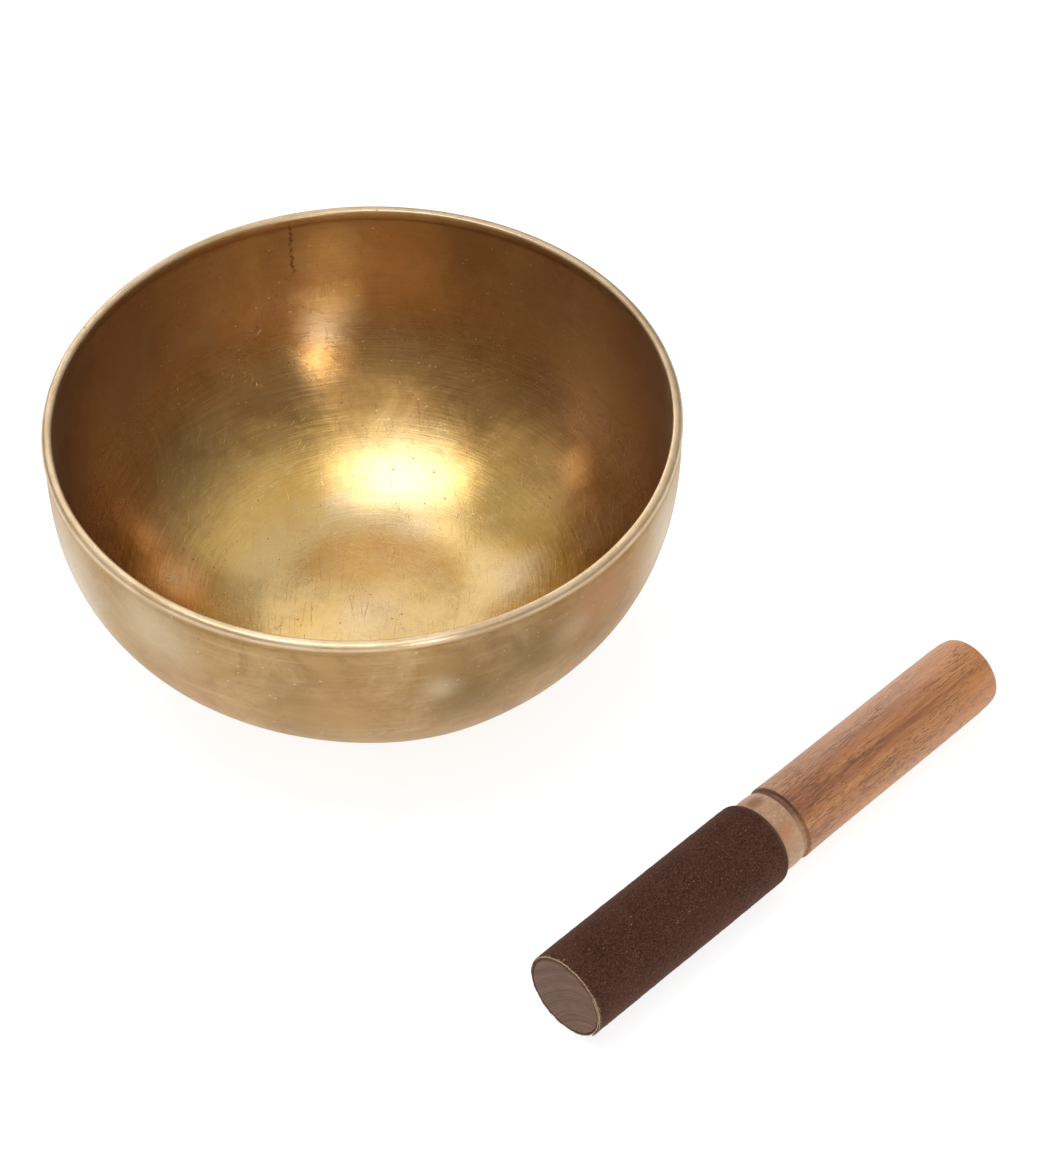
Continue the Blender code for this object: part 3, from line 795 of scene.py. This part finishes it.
    # a cluster of dark pits on the right of the wall
    dense = blob((54.0, 40.0, 18.0), 14.0, 0.2, 0.5)
    specks = n.span(n.noise(mm, 1.1, 3.0, 0.6), 0.62, 0.68)
    cluster = n.math("MULTIPLY", dense, specks)
    colour = n.mix(n.math("MULTIPLY", cluster, 0.55), colour, (0.13, 0.075, 0.04))
    n.put(n.shader.inputs["Base Color"], colour)

    rough = n.math("ADD", 0.25, n.math("MULTIPLY", n.span(p3, 0.45, 0.75), 0.05))
    rough = n.math("ADD", rough, n.math("MULTIPLY", n.math("SUBTRACT", fine, 0.5), 0.10))
    rough = n.math("ADD", rough, n.math("MULTIPLY", outside, 0.13))
    rough = n.math("ADD", rough, n.math("MULTIPLY", n.span(z, 24.0, 70.0), 0.07))
    rough = n.math("ADD", rough, n.math("MULTIPLY", pit, 0.2))
    n.put(n.shader.inputs["Roughness"], rough)
    n.shader.inputs["Metallic"].default_value = 1.0
    n.shader.inputs["Anisotropic"].default_value = 0.65
    n.shader.inputs["Anisotropic Rotation"].default_value = 0.25
    tangent = n.tree.nodes.new("ShaderNodeTangent")
    tangent.direction_type = "RADIAL"
    tangent.axis = "Z"
    n.put(n.shader.inputs["Tangent"], tangent.outputs[0])

    dents = n.noise(mm, 0.070, 2.0, 0.5)
    b = n.bump(dents, 0.00026, 0.6)
    b = n.bump(broad, 0.000045, 0.7, b)
    b = n.bump(fine, 0.000028, 0.8, b)
    b = n.bump(cross, 0.000018, 0.6, b)
    b = n.bump(grain, 0.00002, 0.35, b)
    b = n.bump(n.math("SUBTRACT", 0.0, n.math("MAXIMUM", pit, n.math("MULTIPLY", scratch, 0.3))), 0.00012, 0.7, b)
    n.put(n.shader.inputs["Normal"], b)
    return n.mat


def wood_material():
    n = Net("hardwood_turned")
    mm = n.own()
    sep = n.node("ShaderNodeSeparateXYZ", Vector=mm)
    z = sep.node.outputs[2]
    # growth rings of a board whose heart lay outside the stick, wandering a little along it
    wander = n.node("ShaderNodeTexNoise", out=1, Vector=n.mapping(mm, scale=(0.02, 0.02, 0.012)), Scale=1.0, Detail=2.0)
    bent = n.vmath("ADD", mm, n.vmath("MULTIPLY", n.vmath("SUBTRACT", wander, (0.5, 0.5, 0.5)), (9.0, 9.0, 0.0)))
    far = n.node("ShaderNodeVectorMath", out=1, props={"operation": "LENGTH"},
                 i0=n.vmath("MULTIPLY", n.vmath("ADD", bent, (21.0, -15.0, 0.0)), (1.0, 1.0, 0.0)))
    rings = n.noise(n.node("ShaderNodeCombineXYZ", X=n.math("MULTIPLY", far, 0.30), Y=0.0, Z=n.math("MULTIPLY", z, 0.004)), 1.0, 3.0, 0.55)
    ring_fine = n.noise(n.node("ShaderNodeCombineXYZ", X=n.math("MULTIPLY", far, 1.3), Y=3.0, Z=n.math("MULTIPLY", z, 0.006)), 1.0, 3.0, 0.6)
    streak = n.noise(n.mapping(mm, scale=(0.42, 0.42, 0.020)), 1.0, 5.0, 0.62, 0.3)
    fibre = n.noise(n.mapping(mm, scale=(2.4, 2.4, 0.16)), 1.0, 4.0, 0.65)
    pores = n.noise(n.mapping(mm, scale=(3.9, 3.9, 0.36)), 1.0, 2.0, 0.55)
    pores_long = n.noise(n.mapping(mm, scale=(3.0, 3.0, 0.18), location=(5.0, 1.0, 0.0)), 1.0, 2.0, 0.5)
    dark = n.noise(n.mapping(mm, scale=(0.20, 0.30, 0.013), location=(4.0, 2.0, 0.7)), 1.0, 4.0, 0.55, 0.5)
    colour = n.ramp(rings, [(0.30, WOOD[0]), (0.44, WOOD[1]), (0.54, WOOD[2]), (0.70, WOOD[3])])
    colour = n.mix(n.span(ring_fine, 0.42, 0.66, 0.0, 0.40), colour, WOOD[0])
    colour = n.mix(n.span(streak, 0.44, 0.66, 0.0, 0.50), colour, WOOD[4])
    colour = n.mix(n.span(dark, 0.55, 0.66, 0.0, 0.70), colour, WOOD[5])
    colour = n.mix(n.span(fibre, 0.46, 0.72, 0.0, 0.40), colour, WOOD[6])
    colour = n.mix(n.span(fibre, 0.30, 0.46, 0.40, 0.0), colour, WOOD[0])
    # across the board: a painted sheen, pale and pinkish, on one flank, a redder dark band along the crown, orange on
    # the other flank
    across = n.node("ShaderNodeVectorMath", out=1, props={"operation": "DOT_PRODUCT"}, i0=bent, i1=(-0.530, 0.848, 0.0))
    colour = n.mix(n.span(across, -9.5, -3.0, 0.50, 0.0), colour, (0.64, 0.37, 0.235))
    crown = n.math("MULTIPLY", n.span(across, -5.0, -1.0), n.span(across, 0.5, 5.5, 1.0, 0.0))
    colour = n.mix(n.math("MULTIPLY", crown, n.span(streak, 0.38, 0.60, 0.15, 0.75)), colour, (0.26, 0.082, 0.032))
    colour = n.mix(n.span(across, 3.0, 8.5, 0.0, 0.45), colour, (0.64, 0.27, 0.080))
    colour = n.mix(n.span(z, 150.0, 176.0, 0.0, 0.40), colour, (0.66, 0.265, 0.075))
    where = n.span(n.noise(n.mapping(mm, scale=(0.16, 0.16, 0.03)), 1.0, 2.0, 0.5), 0.38, 0.58, 0.25, 1.0)
    # the pores lie closest near the neck
    near = n.span(z, 96.0, 150.0, 0.035, 0.0)
    where = n.math("MAXIMUM", where, n.span(z, 104.0, 130.0, 0.85, 0.0))
    pore = n.math("MULTIPLY", n.math("MAXIMUM", n.span(n.math("ADD", pores, near), 0.585, 0.64), n.span(n.math("ADD", pores_long, near), 0.61, 0.66)), where)
    # the sawn face of the head: end grain, darker and dull, with arcs of the rings
    face = n.math("MAXIMUM", n.span(z, 0.25, 0.55, 1.0, 0.0), n.span(z, STICK_L - 0.5, STICK_L - 0.15))
    arcs = n.noise(n.node("ShaderNodeCombineXYZ", X=n.math("MULTIPLY", far, 1.5), Y=7.0, Z=n.noise(mm, 0.12, 2.0)), 1.0, 4.0, 0.65)
    speck = n.noise(mm, 2.2, 3.0, 0.65)
    end = n.mix(n.span(arcs, 0.38, 0.62), (0.098, 0.036, 0.016), (0.200, 0.086, 0.044))
    end = n.mix(n.span(speck, 0.42, 0.70, 0.0, 0.30), end, (0.26, 0.125, 0.068))
    end = n.mix(n.span(n.noise(mm, 0.18, 3.0, 0.6), 0.45, 0.65, 0.0, 0.5), end, (0.120, 0.047, 0.022))
    side = n.mix(n.math("MULTIPLY", pore, 0.66), colour, WOOD[7])
    # the bead and the groove: the bead paler and rougher, partly its own wood and partly a painted highlight on its
    # swell, and a reddish knot
    bead = n.math("MULTIPLY", n.span(z, BEAD_START - 0.4, BEAD_START), n.span(z, GRIP_START - 1.2, GRIP_START - 0.5, 1.0, 0.0))
    side = n.mix(n.math("MULTIPLY", bead, 0.58), side, (0.62, 0.385, 0.235))
    chalk = n.span(n.noise(mm, 1.3, 4.0, 0.7), 0.54, 0.68)
    side = n.mix(n.math("MULTIPLY", n.math("MULTIPLY", bead, chalk), 0.60), side, (0.72, 0.56, 0.40))
    warm = n.node("ShaderNodeVectorMath", out=1, props={"operation": "DISTANCE"}, i0=mm, i1=(9.5, 8.5, 86.0))
    side = n.mix(n.math("MULTIPLY", n.span(warm, 1.0, 4.5, 1.0, 0.0), 0.55), side, (0.50, 0.215, 0.075))
    knot = n.node("ShaderNodeVectorMath", out=1, props={"operation": "DISTANCE"}, i0=mm, i1=(12.0, -4.5, 86.5))
    side = n.mix(n.math("MULTIPLY", n.span(knot, 1.2, 3.8, 1.0, 0.0), 0.70), side, (0.26, 0.080, 0.036))
    # painted shade in the groove and on the grip's shoulder, heavier on one side
    groove_shade = n.math("MULTIPLY", n.span(z, BEAD_END - 0.1, BEAD_END + 0.25), n.span(z, GRIP_START - 0.25, GRIP_START + 0.12, 1.0, 0.0))
    flank = n.span(sep.node.outputs[1], 3.0, 9.5, 0.85, 0.22)
    side = n.mix(n.math("MULTIPLY", groove_shade, flank), side, (0.150, 0.048, 0.022))
    shoulder_shade = n.math("MULTIPLY", n.span(z, GRIP_START - 0.45, GRIP_START - 0.30), n.span(z, GRIP_START - 0.02, GRIP_START + 0.12, 1.0, 0.0))
    side = n.mix(n.math("MULTIPLY", shoulder_shade, n.span(sep.node.outputs[1], 2.0, 9.0, 0.75, 0.30)), side, (0.105, 0.036, 0.018))
    colour = n.mix(face, side, end)
    n.put(n.shader.inputs["Base Color"], colour)
    rough = n.math("ADD", 0.33, n.math("MULTIPLY", fibre, 0.16))
    rough = n.math("ADD", rough, n.math("MULTIPLY", face, 0.25))
    n.put(n.shader.inputs["Roughness"], rough)
    n.shader.inputs["Specular IOR Level"].default_value = 0.62
    b = n.bump(fibre, 0.00006, 0.5)
    b = n.bump(n.math("SUBTRACT", 0.0, pore), 0.00014, 0.7, b)
    b = n.bump(n.math("MULTIPLY", speck, face), 0.00010, 0.5, b)
    n.put(n.shader.inputs["Normal"], b)
    return n.mat


def suede_material():
    n = Net("suede_napped")
    mm = n.own()
    raw = n.attr("raw")
    blot = n.noise(mm, 0.10, 4.0, 0.55, 0.4)
    brushed = n.noise(n.mapping(mm, rotation=(0.0, 0.4, 0.0), scale=(0.5, 0.5, 0.12)), 1.0, 4.0, 0.65)
    nap = n.noise(mm, 1.5, 5.0, 0.72)
    speck = n.noise(mm, 2.6, 2.0, 0.6)
    colour = n.mix(n.span(blot, 0.32, 0.68), SUEDE[0], SUEDE[1])
    colour = n.mix(n.span(brushed, 0.42, 0.68, 0.0, 0.45), colour, SUEDE[2])
    colour = n.mix(n.span(nap, 0.44, 0.64, 0.0, 0.85), colour, SUEDE[3])
    colour = n.mix(n.span(nap, 0.34, 0.46, 0.85, 0.0), colour, SUEDE[4])
    colour = n.mix(n.span(speck, 0.64, 0.72, 0.0, 0.8), colour, SUEDE[5])
    # the cut end: dark, with a pale thread of raw leather at its outer edge and, through the lap, a second one further in
    sep = n.node("ShaderNodeSeparateXYZ", Vector=mm)
    far = n.node("ShaderNodeVectorMath", out=1, props={"operation": "LENGTH"},
                 i0=n.node("ShaderNodeCombineXYZ", X=sep, Y=sep.node.outputs[1], Z=0.0))
    angle = n.math("ARCTAN2", sep.node.outputs[1], sep)
    wave = n.noise(mm, 0.55, 3.0, 0.6)
    strand = n.noise(mm, 3.0, 3.0, 0.7)
    facing = n.math("MULTIPLY", n.span(angle, math.radians(-66.0), math.radians(-40.0), 0.25, 1.0),
                    n.span(angle, math.radians(118.0), math.radians(132.0), 1.0, 0.12))
    off = n.math("ABSOLUTE", n.math("SUBTRACT", n.math("ADD", far, n.math("MULTIPLY", n.math("SUBTRACT", wave, 0.5), 0.35)), 13.60))
    thread = n.span(off, 0.10, 0.24, 1.0, 0.0)
    f = n.span(angle, LAP_FROM, LAP_TO, 0.0, 1.0, smooth=False)
    inner = n.math("ADD", 12.80, n.math("MULTIPLY", f, 0.55))
    off2 = n.math("ABSOLUTE", n.math("SUBTRACT", n.math("ADD", far, n.math("MULTIPLY", n.math("SUBTRACT", wave, 0.5), 0.30)), inner))
    thread2 = n.math("MULTIPLY", n.span(off2, 0.08, 0.22, 1.0, 0.0), n.math("MULTIPLY", n.span(f, 0.02, 0.25), 0.9))
    threads = n.math("MULTIPLY", n.math("MAXIMUM", thread, thread2), n.math("MULTIPLY", facing, n.span(strand, 0.30, 0.46)))
    tan = n.mix(n.span(strand, 0.40, 0.62), (0.36, 0.24, 0.135), (0.70, 0.55, 0.36))
    cut = n.mix(threads, n.mix(n.span(strand, 0.42, 0.60), (0.075, 0.032, 0.019), (0.150, 0.078, 0.048)), tan)
    colour = n.mix(n.span(raw, 0.10, 0.70), colour, cut)
    n.put(n.shader.inputs["Base Color"], colour)
    n.shader.inputs["Roughness"].default_value = 0.95
    n.shader.inputs["Specular IOR Level"].default_value = 0.12
    n.shader.inputs["Sheen Weight"].default_value = 0.22
    n.shader.inputs["Sheen Roughness"].default_value = 0.45
    n.shader.inputs["Sheen Tint"].default_value = (0.80, 0.50, 0.38, 1.0)
    b = n.bump(nap, 0.00042, 0.85)
    b = n.bump(speck, 0.00014, 0.5, b)
    n.put(n.shader.inputs["Normal"], b)
    return n.mat


def nap_material():
    n = Net("suede_fibre")
    pale = n.attr("pale")
    colour = n.mix(pale, SUEDE[3], (0.46, 0.32, 0.22))
    colour = n.mix(n.span(pale, 1.0, 1.6), colour, (0.72, 0.62, 0.52))
    n.put(n.shader.inputs["Base Color"], colour)
    n.shader.inputs["Roughness"].default_value = 0.9
    n.shader.inputs["Specular IOR Level"].default_value = 0.15
    return n.mat


# ---------------------------------------------------------------- stage
def make_stage():
    n = Net("stage_white")
    n.shader.inputs["Base Color"].default_value = (0.40, 0.40, 0.40, 1.0)
    n.shader.inputs["Roughness"].default_value = 0.9
    n.shader.inputs["Specular IOR Level"].default_value = 0.0
    n.shader.inputs["Emission Color"].default_value = (1.0, 1.0, 1.0, 1.0)
    n.shader.inputs["Emission Strength"].default_value = 0.81
    bpy.ops.mesh.primitive_plane_add(size=12.0, location=(0, 0, 0))
    floor = bpy.context.object
    floor.name = "stage_floor"
    floor.data.materials.append(n.mat)


WORLD = 0.45
PANELS = (
    ("key_overhead", 78.0, -166.0, 1.3, (0.58, 0.94), 3.1, -28.0),
    ("key_glow", 80.0, -110.0, 1.5, (1.20, 1.30), 0.40, 0.0),
    ("right_glow", 66.0, 36.0, 1.5, (1.40, 1.40), 0.36, 0.0),
    ("front_low", 25.0, -71.0, 1.6, (0.26, 0.24), 17.0, 0.0),
    ("back_wall", 43.0, 108.0, 1.7, (1.30, 0.95), 0.96, 0.0),
    ("fan", 62.0, 122.0, 1.6, (0.34, 0.34), 1.8, 0.0),
    ("front_wall", 50.0, -96.0, 2.2, (1.50, 0.95), 0.68, 0.0),
    ("left_glow", 38.0, 176.0, 1.8, (1.50, 0.80), 0.26, 0.0),
    ("sheen", 24.0, 112.0, 1.6, (1.00, 0.45), 2.2, 0.0),
)


def area_light(name, direction, distance, size, power, target=(0, 0, 0.03), turn=0.0):
    data = bpy.data.lights.new(name, "AREA")
    data.shape = "ELLIPSE"
    data.size, data.size_y = size
    data.energy = power
    obj = bpy.data.objects.new(name, data)
    SCENE.collection.objects.link(obj)
    d = Vector(direction).normalized()
    obj.location = Vector(target) + d * distance
    obj.rotation_mode = "QUATERNION"
    obj.rotation_quaternion = Quaternion(d, math.radians(turn)) @ d.to_track_quat("Z", "Y")
    return obj


def panel(name, elevation, azimuth, distance, size, radiance, turn):
    """A soft light seen from the bowl at an elevation and azimuth in degrees."""
    e, a = math.radians(elevation), math.radians(azimuth)
    way = (math.cos(e) * math.cos(a), math.cos(e) * math.sin(a), math.sin(e))
    return area_light(name, way, distance, size, radiance * math.pi * math.pi / 4.0 * size[0] * size[1], turn=turn)


def make_lights():
    world = bpy.data.worlds.new("studio")
    SCENE.world = world
    world.use_nodes = True
    world.node_tree.nodes["Background"].inputs[0].default_value = (1.0, 1.0, 1.0, 1.0)
    world.node_tree.nodes["Background"].inputs[1].default_value = WORLD
    for values in PANELS:
        panel(*values)
    SCENE.view_settings.view_transform = "Standard"
    SCENE.view_settings.look = "None"


def make_camera():
    tilt, roll = math.radians(45.89), math.radians(-0.93)
    forward = Vector((0.0, math.cos(tilt), -math.sin(tilt)))
    right = Vector((1.0, 0.0, 0.0))
    up = right.cross(forward)
    r2 = right * math.cos(roll) + up * math.sin(roll)
    u2 = -right * math.sin(roll) + up * math.cos(roll)
    data = bpy.data.cameras.new("camera")
    data.sensor_width = 36.0
    data.lens = 4200.0 * 36.0 / 1176.0
    data.clip_start, data.clip_end = 0.05, 50.0
    cam = bpy.data.objects.new("camera", data)
    SCENE.collection.objects.link(cam)
    turn = Matrix((r2, u2, -forward)).transposed().to_4x4()
    cam.matrix_world = Matrix.Translation((0.0477, -0.9275, 0.9664)) @ turn
    SCENE.camera = cam


# ---------------------------------------------------------------- build
make_camera()
make_stage()
make_lights()

bowl = make_bowl()
bowl.data.materials.append(bronze_material())
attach(bowl, "bowl")
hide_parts("bowl")

place = striker_matrix()
stick = make_stick()
settle(stick, place)
stick.data.materials.append(wood_material())
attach(stick, "striker")
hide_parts("striker_stick")

suede = make_suede()
settle(suede, place)
suede.data.materials.append(suede_material())
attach(suede, "striker")
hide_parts("suede_wrap")

nap = make_nap(place)
settle(nap, place)
nap.data.materials.append(nap_material())
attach(nap, "striker")
